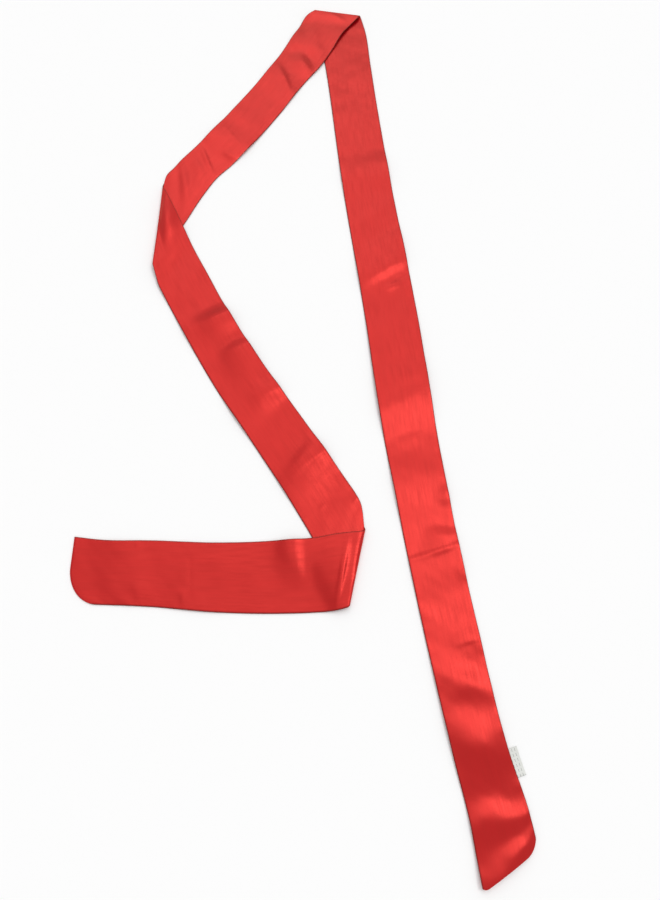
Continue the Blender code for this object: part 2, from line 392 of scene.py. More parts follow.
def running_total(steps: np.ndarray) -> np.ndarray:
    """Add steps up, from 0.

    Args:
        steps: (steps,).

    Returns:
        The totals, (steps + 1,).
    """
    return np.concatenate([[0.0], np.cumsum(steps)])


def distance_along(points: np.ndarray) -> np.ndarray:
    """Measure along a row of points: the running total of the lengths of its steps.

    Args:
        points: (points, axes).

    Returns:
        Distances from the first point, (points,).
    """
    return running_total(np.linalg.norm(np.diff(points, axis=0), axis=1))


@dataclass(frozen=True)
class Stretch:
    """One stretch of the sash as it is laid down: a ribbon ruled between its two edges.

    Attributes:
        name: The CAD node that it stands for.
        sections: The lines that the ribbon is ruled through.
        swells: Its low waves, which the solid has too.
        creases: Its finer ridges and troughs.
        upper: The ply that lies uppermost on it.
        crosses: The edge of the next stretch that it climbs over, where there is one.
    """

    name: str
    sections: tuple[Section, ...]
    swells: tuple[Swell, ...]
    creases: tuple[Crease, ...]
    upper: Ply
    crosses: Edge | None = None

    @cached_property
    def rows(self) -> np.ndarray:
        """The sections as one array, (sections, 4)."""
        return np.array([astuple(section) for section in self.sections], dtype=float)

    @cached_property
    def knots(self) -> np.ndarray:
        """How far each section's middle is along the stretch, (sections,)."""
        return distance_along(self.rows[:, :2])

    @property
    def length(self) -> float:
        """Length of the stretch along its middle."""
        return float(self.knots[-1])

    def rulings(self, at: np.ndarray) -> np.ndarray:
        """Find both ends of the ribbon's lines: a smooth curve through each edge's points.

        Args:
            at: Distances along the stretch, (rings,).

        Returns:
            Points in plan, (rings, 2 edges, 2).
        """
        lay = np.radians(self.rows[:, 2])
        half = 0.5 * self.rows[:, 3:4] * np.stack([np.cos(lay), np.sin(lay)], axis=1)
        edges = np.concatenate([self.rows[:, :2] - half, self.rows[:, :2] + half], axis=1)
        return smooth_curve(self.knots, edges, at).reshape(-1, 2, 2)

    def widths(self, at: np.ndarray) -> np.ndarray:
        """Measure the ribbon's lines.

        Args:
            at: Distances along the stretch, (rings,).

        Returns:
            Their lengths, (rings,).
        """
        lines = self.rulings(at)
        return np.linalg.norm(lines[:, 1] - lines[:, 0], axis=1)

    def inward(self, fold: Section) -> np.ndarray:
        """Find the direction from a fold's line into the stretch, square to that line.

        Args:
            fold: The first or the last section.

        Returns:
            A unit vector in plan.
        """
        lay = np.radians(fold.lay)
        square = np.array([-np.sin(lay), np.cos(lay)])
        to_middle = self.rows[:, :2].mean(axis=0) - np.array([fold.x, fold.y])
        return square * np.sign(square @ to_middle)

    def distance_in(self, at_start: bool, depth: float) -> float:
        """Find where the ribbon is this deep inside the fold at one of its ends.

        Args:
            at_start: Whether the fold is at the start.
            depth: Distance from the fold's outermost line.

        Returns:
            The distance along the stretch.
        """
        fold = self.sections[0] if at_start else self.sections[-1]
        search = np.linspace(0.0, FOLD_SEARCH, SEARCH_STEPS + 1)
        at = search if at_start else self.length - search
        middles = self.rulings(at).mean(axis=1)
        depths = (middles - np.array([fold.x, fold.y])) @ self.inward(fold)
        found = float(np.interp(depth, depths, search))
        return found if at_start else self.length - found

    def beyond(self, edge: Edge, points: np.ndarray, samples: int = 400) -> np.ndarray:
        """Measure how far points in plan lie outside one edge of this stretch.

        The distance is to the nearest sample of the edge's curve. It is positive where the point
        and the other edge lie on opposite sides of the curve there.

        Args:
            edge: The edge to measure from.
            points: Points in plan, (..., 2).
            samples: How many samples the curve gets.

        Returns:
            Signed distances, (...).
        """
        lines = self.rulings(np.linspace(0.0, self.length, samples))
        curve = lines[:, edge.value]
        tangent = np.gradient(curve, axis=0)
        other = lines[:, 1 - edge.value] - curve
        flat = points.reshape(-1, 2)
        apart = flat[:, None, :] - curve[None, :, :]
        near = np.einsum("ijk,ijk->ij", apart, apart).argmin(axis=1)
        offset = flat - curve[near]
        turn = tangent[near, 0] * offset[:, 1] - tangent[near, 1] * offset[:, 0]
        inside = tangent[near, 0] * other[near, 1] - tangent[near, 1] * other[near, 0]
        signed = -np.sign(turn * inside) * np.linalg.norm(offset, axis=1)
        return signed.reshape(points.shape[:-1])


@dataclass
class Grid:
    """A run or a turn of the cloth, as arrays over (rings, columns).

    Attributes:
        points: Middle surface between the two plies, with a last axis of 3.
        relief: What troughs, seam allowance, puckers and waviness add to the upper ply alone.
        upper: The ply that lies uppermost.
        along: Distance along the threads, from the start of the whole sash.
        across: Place across, from 0 to 1.
        width: Width of the cloth at each ring, (rings,).
    """

    points: np.ndarray
    relief: np.ndarray
    upper: Ply
    along: np.ndarray
    across: np.ndarray
    width: np.ndarray


@dataclass
class SashTube:
    """The whole sash as one hollow tube of satin, from its round tail to its point.

    Attributes:
        ply_rise: From the middle surface to the outside of the upper ply.
        ply_drop: From the middle surface to the outside of the lower ply.
        cloth: Thickness of the satin.
        edge_round: How far in from an edge the two plies part.
        deepest: How far a trough may press the upper ply down.
        give: Share of that by which the lower ply gives.
        least_rise: Least distance from the middle surface to the inner skin.
        coarse_step: Between rings where the cloth is plain.
        fine_step: Between rings on a sharp crease.
        sharp_reach: A crease with less reach than this gets fine rings.
        sharp_spread: How far they spread round it, in its own reach.
        search_steps: Places searched for each fine step.
        inner_columns: Columns between the finer ones at the edges.
        edge_places: Distances of the fine columns and rings from an edge or a free end.
        turn_steps: Steps round a fold.
        allowance: Width of the seam allowance pressed inside the tube.
        allowance_rise: What it lifts the upper ply by.
        allowance_ease: Width over which that rise fades out.
        pucker_height: Height of the small puckers that the seam's thread pulls up.
        pucker_edges: Share of that height at the folded and at the seam edge.
        pucker_pitch: Mean distance from one pucker to the next.
        pucker_waves: The waves that they are summed from, as shares of that distance.
        pucker_stray: Least and most that a wave's length strays by.
        pucker_slant: Most that a wave leans along the sash, for each metre inwards.
        pucker_depth: How far they run in from the edge.
        wander_height: Height of the faint, uneven waviness of soft cloth.
        wander_pitch: Shortest and longest of its wavelengths.
        wander_waves: How many waves it is summed from.
        wander_lean: Usual lean of a wave along the sash.
        seed: Start of the random draws for the puckers and the waviness.
        stretches: The stretches, in their order along the sash.
        offsets: Distance from the start of the sash to each stretch's own start.
    """

    stretches: tuple[Stretch, ...]
    ply_rise: float = 0.0007
    ply_drop: float = 0.0008
    cloth: float = 0.00025
    edge_round: float = 0.0013
    deepest: float = 0.0004
    give: float = 0.4
    least_rise: float = 0.00005
    coarse_step: float = 0.0044
    fine_step: float = 0.0017
    sharp_reach: float = 0.008
    sharp_spread: float = 1.5
    search_steps: int = 4
    inner_columns: int = 29
    edge_places: tuple[float, ...] = (0.0, 0.00015, 0.0005, 0.0013, 0.0030)
    turn_steps: int = 15
    allowance: float = 0.009
    allowance_rise: float = 0.00010
    allowance_ease: float = 0.0016
    pucker_height: float = 0.00016
    pucker_edges: tuple[float, float] = (0.5, 1.0)
    pucker_pitch: float = 0.011
    pucker_waves: tuple[float, ...] = (0.6, 0.9, 1.3, 1.9)
    pucker_stray: tuple[float, float] = (0.9, 1.1)
    pucker_slant: float = 0.6
    pucker_depth: float = 0.013
    wander_height: float = 0.00005
    wander_pitch: tuple[float, float] = (0.018, 0.060)
    wander_waves: int = 14
    wander_lean: float = 0.5
    seed: int = 7
    offsets: dict[str, float] = field(default_factory=dict)

    def columns(self, width: np.ndarray) -> np.ndarray:
        """Place the columns: fine steps in metres at both edges, even steps between them.

        Args:
            width: Width at each ring, (rings,).

        Returns:
            Places across from 0 to 1, (rings, columns).
        """
        near = np.array(self.edge_places)[None, :] / width[:, None]
        share = np.linspace(0.0, 1.0, self.inner_columns + 2)[None, 1:-1]
        between = near[:, -1:] + (1.0 - 2.0 * near[:, -1:]) * share
        return np.concatenate([near, between, 1.0 - near[:, ::-1]], axis=1)

    def ring_places(self, stretch: Stretch, start: float, end: float) -> np.ndarray:
        """Place the rings closer together on sharp creases.

        The density is one over the coarse step, and near each sharp crease a bell curve lifts it
        to one over the fine step. Rings lie at even shares of its running total.

        Args:
            stretch: The stretch.
            start: Distance along of the first ring.
            end: Distance along of the last ring.

        Returns:
            Distances along, (rings,).
        """
        search = np.linspace(start, end, int((end - start) / self.fine_step) * self.search_steps)
        extra = np.zeros_like(search)
        for crease in stretch.creases:
            if crease.reach < self.sharp_reach:
                lean = abs(np.sin(np.radians(crease.turn))) * min(crease.span, 0.5 * PRESSED_WIDTH)
                off = (search - crease.along) / (self.sharp_spread * crease.reach + lean)
                extra = np.maximum(extra, np.exp(-(off**2)))
        density = 1.0 / self.coarse_step + (1.0 / self.fine_step - 1.0 / self.coarse_step) * extra
        total = running_total(0.5 * (density[1:] + density[:-1]) * np.diff(search))
        shares = np.linspace(0.0, total[-1], int(np.ceil(total[-1])) + 1)
        places = np.interp(shares, total, search)
        fine = np.array(self.edge_places)
        if start == 0.0:
            places = np.concatenate([fine, places[places > fine[-1] + self.fine_step]])
        if end == stretch.length:
            kept = places[places < end - fine[-1] - self.fine_step]
            places = np.concatenate([kept, end - fine[::-1]])
        return places

    def swell_height(self, stretch: Stretch, at: np.ndarray, across: np.ndarray) -> np.ndarray:
        """Sum the low waves: each its edge-to-edge crest height times (1 less q squared) squared.

        Args:
            stretch: The stretch.
            at: Distances along, (rings,).
            across: Places across, (rings, columns).

        Returns:
            Heights, (rings, columns).
        """
        v = 2.0 * across - 1.0
        height = np.zeros_like(across)
        for swell in stretch.swells:
            q = np.clip((at[:, None] - swell.along - swell.lean * v) / swell.reach, -1.0, 1.0)
            crest = 0.5 * (swell.fold_height * (1.0 - v) + swell.seam_height * (1.0 + v))
            height += crest * (1.0 - q * q) ** 2
        return height

    def crease_heights(
        self, stretch: Stretch, at: np.ndarray, across: np.ndarray, width: np.ndarray
    ) -> tuple[np.ndarray, np.ndarray]:
        """Sum the creases: a bell curve off each one's line, faded out towards its two ends.

        Both coordinates of a place are turned into a distance off the line and one along it. The
        bell's spread differs on the two flanks, and the line itself is bent like a parabola.

        Args:
            stretch: The stretch.
            at: Distances along, (rings,).
            across: Places across, (rings, columns).
            width: Widths, (rings,).

        Returns:
            Ridges, which lift both plies, and troughs, which press the upper one, both
            (rings, columns).
        """
        ridges = np.zeros_like(across)
        troughs = np.zeros_like(across)
        for crease in stretch.creases:
            turn = np.radians(crease.turn)
            ahead = at[:, None] - crease.along
            aside = (across - crease.across) * width[:, None]
            run = ahead * np.sin(turn) + aside * np.cos(turn)
            end = np.clip(run / crease.span, -1.0, 1.0)
            off = ahead * np.cos(turn) - aside * np.sin(turn) - crease.bend * end**2
            reach = crease.reach * np.where(off > 0.0, 1.0 - crease.steep, 1.0 + crease.steep)
            form = np.exp(-((off / reach) ** 2)) * (1.0 - end**2) ** 2
            if crease.height > 0.0:
                ridges += crease.height * form
            else:
                troughs += crease.height * form
        return ridges, troughs

    def puckers(self, at: np.ndarray, across: np.ndarray, width: np.ndarray) -> np.ndarray:
        """Sum waves along each edge that die out inwards, with the seam edge pulled up more.

        Args:
            at: Distances from the start of the sash, (rings,).
            across: Places across, (rings, columns).
            width: Widths, (rings,).

        Returns:
            Heights, (rings, columns).
        """
        draw = np.random.default_rng(self.seed)
        total = np.zeros_like(across)
        for edge, strength in zip(Edge, self.pucker_edges):
            inward = np.abs(across - edge.value) * width[:, None]
            fade = np.exp(-inward / (0.5 * self.pucker_depth))
            height = strength * self.pucker_height / len(self.pucker_waves)
            for share in self.pucker_waves:
                pitch = self.pucker_pitch * share * draw.uniform(*self.pucker_stray)
                phase = draw.uniform(0.0, 2.0 * np.pi)
                slant = draw.uniform(-self.pucker_slant, self.pucker_slant)
                angle = 2.0 * np.pi * (at[:, None] + slant * inward) / pitch + phase
                total += height * fade * np.sin(angle)
        return total

    def wander(self, at: np.ndarray, across: np.ndarray) -> np.ndarray:
        """Sum seeded plane waves of many lengths and directions, mostly across the sash.

        Args:
            at: Distances from the start of the sash, (rings,).
            across: Places across, (rings, columns).

        Returns:
            Heights, (rings, columns).
        """
        draw = np.random.default_rng(self.seed + 1)
        total = np.zeros_like(across)
        shortest, longest = self.wander_pitch
        for pitch in np.geomspace(shortest, longest, self.wander_waves):
            lean = draw.normal(0.0, self.wander_lean)
            phase = draw.uniform(0.0, 2.0 * np.pi)
            angle = 2.0 * np.pi * (at[:, None] + lean * across * PRESSED_WIDTH) / pitch + phase
            total += self.wander_height * pitch / longest * np.sin(angle)
        return total

    def end_trim(self, cut: EndCut, across: np.ndarray) -> np.ndarray:
        """Work out how much an end is drawn back.

        The slant is slant across. The seam corner is a quarter ellipse, corner (1 - sqrt(1 - turn^2)),
        and the point is rounded by blunt (1 - across / blunt_to)^2.

        Args:
            cut: The end's cut.
            across: Places across, (rings, columns).

        Returns:
            Distances, (rings, columns).
        """
        turn = np.clip((across - cut.corner_from) / (1.0 - cut.corner_from), 0.0, 1.0)
        point = np.clip(1.0 - across / cut.blunt_to, 0.0, 1.0)
        corner = cut.corner * (1.0 - np.sqrt(1.0 - turn * turn))
        return cut.slant * across + corner + cut.blunt * point * point

    def plan(self, stretch: Stretch, at: np.ndarray, across: np.ndarray) -> tuple[np.ndarray, np.ndarray]:
        """Lay the grid out in plan, drawn back to the cut near a free end.

        Args:
            stretch: The stretch.
            at: Distances along, (rings,).
            across: Places across, (rings, columns).

        Returns:
            Points, (rings, columns, 2), and the distance along that each was drawn from.
        """
        drawn = np.repeat(at[:, None], across.shape[1], axis=1)
        if at[0] == 0.0:
            reach = np.clip(1.0 - at / END_BLEND, 0.0, 1.0)
            drawn = drawn + self.end_trim(TAIL_CUT, across) * reach[:, None]
        if at[-1] == stretch.length:
            reach = np.clip(1.0 - (stretch.length - at) / END_BLEND, 0.0, 1.0)
            drawn = drawn - self.end_trim(POINT_CUT, across) * reach[:, None]
        lines = stretch.rulings(drawn.ravel())
        share = across.ravel()[:, None]
        points = lines[:, 0] * (1.0 - share) + lines[:, 1] * share
        return points.reshape(across.shape + (2,)), drawn

    def thread_distance(self, stretch: Stretch, drawn: np.ndarray, points: np.ndarray) -> np.ndarray:
        """Measure along the threads: the distance along the middle, plus what lies ahead of it.

        Args:
            stretch: The stretch.
            drawn: Distance along of each place, (rings, columns).
            points: Points in plan, (rings, columns, 2).

        Returns:
            Distances from the start of the stretch, (rings, columns).
        """
        lines = stretch.rulings(drawn.ravel())
        middles = lines.mean(axis=1)
        onward = unit(stretch.rulings(drawn.ravel() + self.fine_step).mean(axis=1) - middles)
        ahead = np.einsum("ij,ij->i", points.reshape(-1, 2) - middles, onward)
        return drawn + ahead.reshape(drawn.shape)

    def run(self, stretch: Stretch, following: Stretch | None, start: float) -> Grid:
        """Work out a stretch from the end of one turn to the start of the next.

        Its height is half the wall, the swells and the ridges, plus the climb over the next
        stretch, which falls away past that stretch's edge, plus the rise to the top of the fold.

        Args:
            stretch: The stretch.
            following: The stretch that it climbs over and then turns down to.
            start: Distance along where it starts.

        Returns:
            The grid of the run.
        """
        end = stretch.length if following is None else stretch.distance_in(False, FOLD_DEPTH)
        at = self.ring_places(stretch, start, end)
        width = stretch.widths(at)
        across = self.columns(width)
        plan, drawn = self.plan(stretch, at, across)
        ridges, troughs = self.crease_heights(stretch, at, across, width)
        swells = self.swell_height(stretch, at, across)
        calm = ease(1.0 - (at - start) / FOLD_EASE) if start > 0.0 else np.ones_like(at)
        height = 0.5 * WALL + swells + ridges
        if following is not None:
            away = following.beyond(stretch.crosses, plan)
            height = height + (WALL + SEAM_GAP) * ease((away - CLIMB_SHOULDER) / CLIMB_RUN)
            fold = stretch.sections[-1]
            depth = (plan - np.array([fold.x, fold.y])) @ stretch.inward(fold) - FOLD_DEPTH
            height = height + (2.0 * FOLD_RADIUS - WALL - SEAM_GAP) * ease(depth / FOLD_EASE)
            calm = calm * ease(1.0 - (end - at) / FOLD_EASE)
        offset = self.offsets[stretch.name]
        inward = (1.0 - across) * width[:, None] - self.allowance
        allowance = self.allowance_rise * ease(inward / self.allowance_ease)
        faint = self.puckers(at + offset, across, width) + self.wander(at + offset, across)
        relief = troughs + allowance + faint * calm[:, None]
        return Grid(
            points=np.concatenate([plan, height[:, :, None]], axis=2),
            relief=np.maximum(relief, -self.deepest),
            upper=stretch.upper,
            along=self.thread_distance(stretch, drawn, plan) + offset,
            across=across,
            width=width,
        )

    def turn(self, stretch: Stretch, before: Grid, after: Grid) -> Grid:
        """Turn the cloth down round a fold: half a circle about the fold's line.

        Each point goes evenly from its place on the last ring above to its place on the first
        ring below, and out past both by the fold's radius times the sine of the angle.

        Args:
            stretch: The stretch that ends in the fold.
            before: Its run.
            after: The run of the next stretch.

        Returns:
            The grid of the turn.
        """
        angle = np.linspace(0.0, np.pi, self.turn_steps + 1)[1:-1, None, None]
        mix = angle / np.pi
        points = before.points[-1:] * (1.0 - mix) + after.points[:1] * mix
        inward = stretch.inward(stretch.sections[-1])
        points[:, :, :2] -= inward * FOLD_RADIUS * np.sin(angle)
        points[:, :, 2:] = 0.5 * WALL + FOLD_RADIUS * (1.0 + np.cos(angle))
        flat = mix[:, :, 0]
        return Grid(
            points=points,
            relief=np.zeros(points.shape[:2]),
            upper=stretch.upper,
            along=before.along[-1:] * (1.0 - flat) + after.along[:1] * flat,
            across=before.across[-1:] * (1.0 - flat) + after.across[:1] * flat,
            width=before.width[-1] * (1.0 - flat[:, 0]) + after.width[0] * flat[:, 0],
        )

    def grids(self) -> list[Grid]:
        """Work out every run and turn in order, from the tail to the point.

        Returns:
            The grids.
        """
        starts = [0.0] + [s.distance_in(True, FOLD_DEPTH) for s in self.stretches[1:]]
        followers = list(self.stretches[1:]) + [None]
        reached = 0.0
        for stretch, following, start in zip(self.stretches, followers, starts):
            self.offsets[stretch.name] = reached - start
            end = stretch.length if following is None else stretch.distance_in(False, FOLD_DEPTH)
            reached += end - start + np.pi * FOLD_RADIUS
        runs = [self.run(s, f, start) for s, f, start in zip(self.stretches, followers, starts)]
        laid = []
        for stretch, before, after in zip(self.stretches, runs, runs[1:]):
            laid += [before, self.turn(stretch, before, after)]
        return laid + [runs[-1]]

    def ply_offsets(self, grids: list[Grid], distance: np.ndarray) -> tuple[np.ndarray, np.ndarray]:
        """Part the plies: each stands off by its own rise, brought to nothing at every edge.

        Near an edge the rise follows a quarter ellipse. Where the relief presses the upper ply
        down, the lower one gives by less than half of that.

        Args:
            grids: The runs and turns.
            distance: Distance from the nearest edge or free end, (rings, columns).

        Returns:
            Offsets of the front and of the back ply, both (rings, columns).
        """
        relief = np.concatenate([grid.relief for grid in grids])
        sign = np.concatenate([np.full(grid.relief.shape, grid.upper.value) for grid in grids])
        inward = np.clip(distance / self.edge_round, 0.0, 1.0)
        profile = np.sqrt(1.0 - (1.0 - inward) ** 2)
        upper = (self.ply_rise + relief) * profile
        lower = (self.ply_drop + np.minimum(self.give * relief, 0.0)) * profile
        return np.where(sign > 0, upper, lower), np.where(sign > 0, lower, upper)

    def build(self) -> bpy.types.Object:
        """Build the tube: an outer skin, and an inner one a cloth's thickness inside it.

        Returns:
            The sash's object, with its UV map in metres.
        """
        grids = self.grids()
        middle = np.concatenate([grid.points for grid in grids])
        across = np.concatenate([grid.across for grid in grids])
        width = np.concatenate([grid.width for grid in grids])[:, None]
        along = np.concatenate([grid.along for grid in grids])
        folded = distance_along(middle[:, 0])
        seam = distance_along(middle[:, -1])
        from_end = np.minimum(np.minimum(folded, seam), np.minimum(folded[-1] - folded, seam[-1] - seam))
        distance = np.minimum(np.minimum(across, 1.0 - across) * width, from_end[:, None])
        front, back = self.ply_offsets(grids, distance)
        normal = unit(np.cross(np.gradient(middle, axis=1), np.gradient(middle, axis=0)))
        texture = np.stack([across * PRESSED_WIDTH, along], axis=-1)

        outer = pillow(middle, normal, front, back)
        edge = len(self.edge_places) - 2
        inner = (slice(edge, -edge), slice(edge, -edge, 2))
        thin = [np.maximum(ply[inner] - self.cloth, self.least_rise) for ply in (front, back)]
        inside = pillow(middle[inner], normal[inner], *thin, inside_out=True)
        faces = np.concatenate([outer.faces, inside.faces + len(outer.points)])
        maps = np.concatenate([outer.corners(texture), inside.corners(texture[inner])])
        sash = make_mesh("satin_sash", np.concatenate([outer.points, inside.points]), faces, maps)
        log.info("satin_sash: %d rings, %d columns, %d faces", *middle.shape[:2], len(faces))
        return sash


@dataclass
class Skin:
    """A closed skin over a grid: points, four-sided faces, and the grid place of each corner.

    Attributes:
        points: (points, 3).
        faces: (faces, 4).
        places: Place in the flattened grid of each face's corners, (faces, 4).
        side: 1 on the front and -1 on the back, (faces,).
    """

    points: np.ndarray
    faces: np.ndarray
    places: np.ndarray
    side: np.ndarray

    def corners(self, texture: np.ndarray) -> np.ndarray:
        """Spread a grid of texture places over the faces' corners, mirrored on the back.

        Args:
            texture: Texture places, (rings, columns, 2).

        Returns:
            Texture places, (faces, 4, 2).
        """
        found = texture.reshape(-1, 2)[self.places]
        mirror = np.stack([self.side, np.ones_like(self.side)], axis=-1)
        return found * mirror[:, None, :]


def quads(index: np.ndarray) -> np.ndarray:
    """List a grid's faces, counted round each from its first corner.

    Args:
        index: Number of each point, (rows, columns).

    Returns:
        Corners of each face, (faces, 4).
    """
    corners = [index[:-1, :-1], index[:-1, 1:], index[1:, 1:], index[1:, :-1]]
    return np.stack(corners, axis=-1).reshape(-1, 4)


def pillow(
    middle: np.ndarray, normal: np.ndarray, front: np.ndarray, back: np.ndarray, inside_out: bool = False
) -> Skin:
    """Close two plies round a middle surface: each is the middle moved out along its normal.

    The plies share the points of the grid's border.

    Args:
        middle: Middle surface, (rings, columns, 3).
        normal: Its unit normals, (rings, columns, 3).
        front: How far the front ply stands off, (rings, columns).
        back: How far the back ply stands off, (rings, columns).
        inside_out: Whether the faces point into the hollow.

    Returns:
        The closed skin.
    """
    rings, columns = front.shape
    front_index = np.arange(rings * columns).reshape(rings, columns)
    back_index = front_index.copy()
    spare = (rings - 2) * (columns - 2)
    back_index[1:-1, 1:-1] = rings * columns + np.arange(spare).reshape(rings - 2, columns - 2)
    rise = front.copy()
    rise[[0, -1], :] = 0.0
    rise[:, [0, -1]] = 0.0
    above = middle + normal * rise[:, :, None]
    below = (middle - normal * back[:, :, None])[1:-1, 1:-1]
    faces = np.concatenate([quads(front_index), quads(back_index)[:, ::-1]])
    places = np.concatenate([quads(front_index), quads(front_index)[:, ::-1]])
    side = np.repeat([1.0, -1.0], len(faces) // 2)
    if inside_out:
        faces = faces[:, ::-1]
        places = places[:, ::-1]
    return Skin(np.concatenate([above.reshape(-1, 3), below.reshape(-1, 3)]), faces, places, side)


def make_mesh(name: str, points: np.ndarray, faces: np.ndarray, texture: np.ndarray) -> bpy.types.Object:
    """Put points, faces and texture places into a new object, shaded smooth.

    Args:
        name: The object's name.
        points: (points, 3).
        faces: Corners of each face, (faces, 4).
        texture: Texture place of each corner, (faces, 4, 2).

    Returns:
        The object, linked to the scene.
    """
    mesh = bpy.data.meshes.new(name)
    mesh.vertices.add(len(points))
    mesh.vertices.foreach_set("co", points.astype(np.float32).ravel())
    mesh.loops.add(faces.size)
    mesh.loops.foreach_set("vertex_index", faces.astype(np.int32).ravel())
    mesh.polygons.add(len(faces))
    mesh.polygons.foreach_set("loop_start", np.arange(0, faces.size, 4, dtype=np.int32))
    mesh.uv_layers.new(name=CLOTH_MAP).uv.foreach_set("vector", texture.astype(np.float32).ravel())
    mesh.update(calc_edges=True)
    mesh.validate()
    mesh.shade_smooth()
    piece = bpy.data.objects.new(name, mesh)
    bpy.context.scene.collection.objects.link(piece)
    return piece


@dataclass
class LabelLoop:
    """The label: a short tape folded to a loop, with both of its ends caught in the seam.

    Attributes:
        at: Where it starts along the long stretch.
        length: Its size along the seam.
        proud: How far the loop stands out of the seam.
        caught: How far its ends run in between the plies.
        gap: Between the loop's two plies.
        tape: Thickness of the tape.
        lift: How far its outer corner curls up.
        skew: How far its outer edge is shifted back along the seam.
        wave: Height of the low wave along it, as a share of the lift.
        wave_turns: How often that wave turns on its length.
        wave_phase: Where it starts.
        rings: Places along it.
        fold_steps: Steps round its fold.
        ply_steps: Places across each of its plies.
        stretch: The stretch whose seam it is caught in.
    """

    stretch: Stretch
    at: float = 1.201
    length: float = 0.030
    proud: float = 0.0100
    caught: float = 0.0016
    gap: float = 0.0005
    tape: float = 0.00025
    lift: float = 0.0011
    skew: float = 0.0012
    wave: float = 0.35
    wave_turns: float = 1.15
    wave_phase: float = 0.6
    rings: int = 25
    fold_steps: int = 10
    ply_steps: int = 12

    def profile(self) -> tuple[np.ndarray, np.ndarray]:
        """Work out the loop's section: out along the upper ply, half a circle, back below.

        Returns:
            Distances out from the seam, and heights over the loop's middle.
        """
        radius = 0.5 * self.gap
        straight = np.linspace(-self.caught, self.proud - radius, self.ply_steps)
        angle = np.linspace(0.0, np.pi, self.fold_steps + 1)[1:-1]
        out = np.concatenate([straight, self.proud - radius + radius * np.sin(angle), straight[::-1]])
        level = np.full(self.ply_steps, radius)
        rise = np.concatenate([level, radius * np.cos(angle), -level])
        return out, rise

    def build(self) -> bpy.types.Object:
        """Build the loop as one sheet, and Solidify gives it the tape's thickness.

        Each ring is the section, set square to the seam. The outer corner is lifted by the square
        of the distance out times the place along, and a low wave runs along the tape.

        Returns:
            The label's object.
        """
        out, rise = self.profile()
        share = np.linspace(0.0, 1.0, self.rings)
        lines = self.stretch.rulings(self.at + self.length * share)
        outward = unit(lines[:, 1] - lines[:, 0])
        onward = unit(np.gradient(lines[:, 1], axis=0))
        free = np.clip(out / self.proud, 0.0, 1.0)[None, :]
        slide = -self.skew * free
        plan = (
            lines[:, 1][:, None, :]
            + outward[:, None, :] * out[None, :, None]
            + onward[:, None, :] * slide[:, :, None]
        )
        angle = 2.0 * np.pi * self.wave_turns * share + self.wave_phase
        curl = self.lift * ((1.0 - share) ** 2 + self.wave * np.sin(angle) ** 2)[:, None]
        height = 0.5 * WALL + rise[None, :] + curl * free**2
        points = np.concatenate([plan, height[:, :, None]], axis=2).reshape(-1, 3)
        faces = quads(np.arange(len(points)).reshape(self.rings, len(out)).T)
        travelled = distance_along(np.stack([out, rise], axis=1))
        texture = np.stack(np.broadcast_arrays(travelled[None, :], self.length * share[:, None]), axis=-1)
        label = make_mesh("label_loop", points, faces, texture.reshape(-1, 2)[faces])
        wall = label.modifiers.new("tape", "SOLIDIFY")
        wall.thickness = self.tape
        wall.offset = 0.0
        log.info("label_loop: %d faces before its thickness", len(faces))
        return label

    @property
    def flat(self) -> tuple[float, float]:
        """Width and length of the tape before it was folded."""
        return self.length, float(distance_along(np.stack(self.profile(), axis=1))[-1])


class NodeSheet:
    """A node tree that nodes are added to in short lines."""

    def __init__(self, tree: bpy.types.NodeTree) -> None:
        """Keep the tree."""
        self.tree = tree

    def feed(self, socket: bpy.types.NodeSocket, value: object) -> None:
        """Link an output to a socket, or set the socket's own value.

        Args:
            socket: The input.
            value: An output socket, a number or a colour.
        """
        if isinstance(value, bpy.types.NodeSocket):
            self.tree.links.new(value, socket)
        else:
            socket.default_value = value

    def add(self, kind: str, **inputs: object) -> bpy.types.Node:
        """Add a node and feed its inputs by name.

        Args:
            kind: The node's type.
            **inputs: Values or output sockets.

        Returns:
            The node.
        """
        node = self.tree.nodes.new(kind)
        for name, value in inputs.items():
            self.feed(node.inputs[name], value)
        return node

    def math(self, operation: str, *values: object) -> bpy.types.NodeSocket:
        """Add a Math node.

        Args:
            operation: Its operation.
            *values: Its inputs in order.

        Returns:
            Its output.
        """
        node = self.tree.nodes.new("ShaderNodeMath")
        node.operation = operation
        for socket, value in zip(node.inputs, values):
            self.feed(socket, value)
        return node.outputs[0]

    def spread(
        self, value: object, low: float, high: float, to_low: float, to_high: float
    ) -> bpy.types.NodeSocket:
        """Map a range of values smoothly to another, held at its ends.

        Args:
            value: The value.
            low: Start of its range.
            high: End of its range.
            to_low: Result at the start.
            to_high: Result at the end.

        Returns:
            The result.
        """
        node = self.tree.nodes.new("ShaderNodeMapRange")
        node.interpolation_type = "SMOOTHSTEP"
        for socket, given in zip(node.inputs, (value, low, high, to_low, to_high)):
            self.feed(socket, given)
        return node.outputs[0]

    def group(self, tree: bpy.types.NodeTree, **inputs: object) -> bpy.types.Node:
        """Place a node group and feed its inputs by name.

        Args:
            tree: The group.
            **inputs: Values or output sockets.

        Returns:
            The group's node.
        """
        node = self.tree.nodes.new("ShaderNodeGroup")
        node.node_tree = tree
        for name, value in inputs.items():
            self.feed(node.inputs[name], value)
        return node

    def map_place(self) -> tuple[bpy.types.NodeSocket, bpy.types.NodeSocket]:
        """Read a place on the piece's own map, as its two coordinates in metres."""
        texture = self.add("ShaderNodeUVMap")
        texture.uv_map = CLOTH_MAP
        place = self.add("ShaderNodeSeparateXYZ", Vector=texture.outputs[0]).outputs
        return place["X"], place["Y"]


